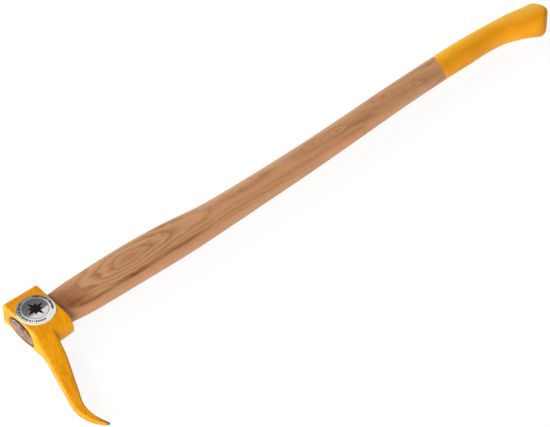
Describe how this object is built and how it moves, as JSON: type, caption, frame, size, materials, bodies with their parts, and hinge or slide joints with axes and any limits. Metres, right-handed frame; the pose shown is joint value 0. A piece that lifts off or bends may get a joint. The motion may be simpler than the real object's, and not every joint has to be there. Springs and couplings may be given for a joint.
{
  "type": "pickaroon",
  "caption": "Timber-handling pick: a forged eye block drawn out into a long hooked spike, wedged on a curved wooden handle with a dip-coated grip.",
  "frame": {"origin": "on the lower cheek, the flat side that it lies on, below the middle of the eye block", "axes": "+X along the handle from the head to the butt, +Y towards the poll with the spike pointing to -Y, +Z through the labelled cheek"},
  "size_m": [0.8339, 0.2007, 0.0304],
  "materials": {
    "paint": "yellow-orange paint over forged steel, satin",
    "hickory": "sanded hickory, satin lacquer, grain along the handle",
    "dark_wood": "bare, dark reddish hardwood",
    "bare_steel": "bare, dull",
    "dip_coat": "smooth yellow dip coat, satin",
    "foil": "printed silver foil, satin"
  },
  "bodies": {
    "root": {"pick_head": "paint", "handle": "hickory", "wooden_wedge": "dark_wood", "steel_wedge": "bare_steel", "grip_coating": "dip_coat", "head_label": "foil"}
  },
  "joints": []
}
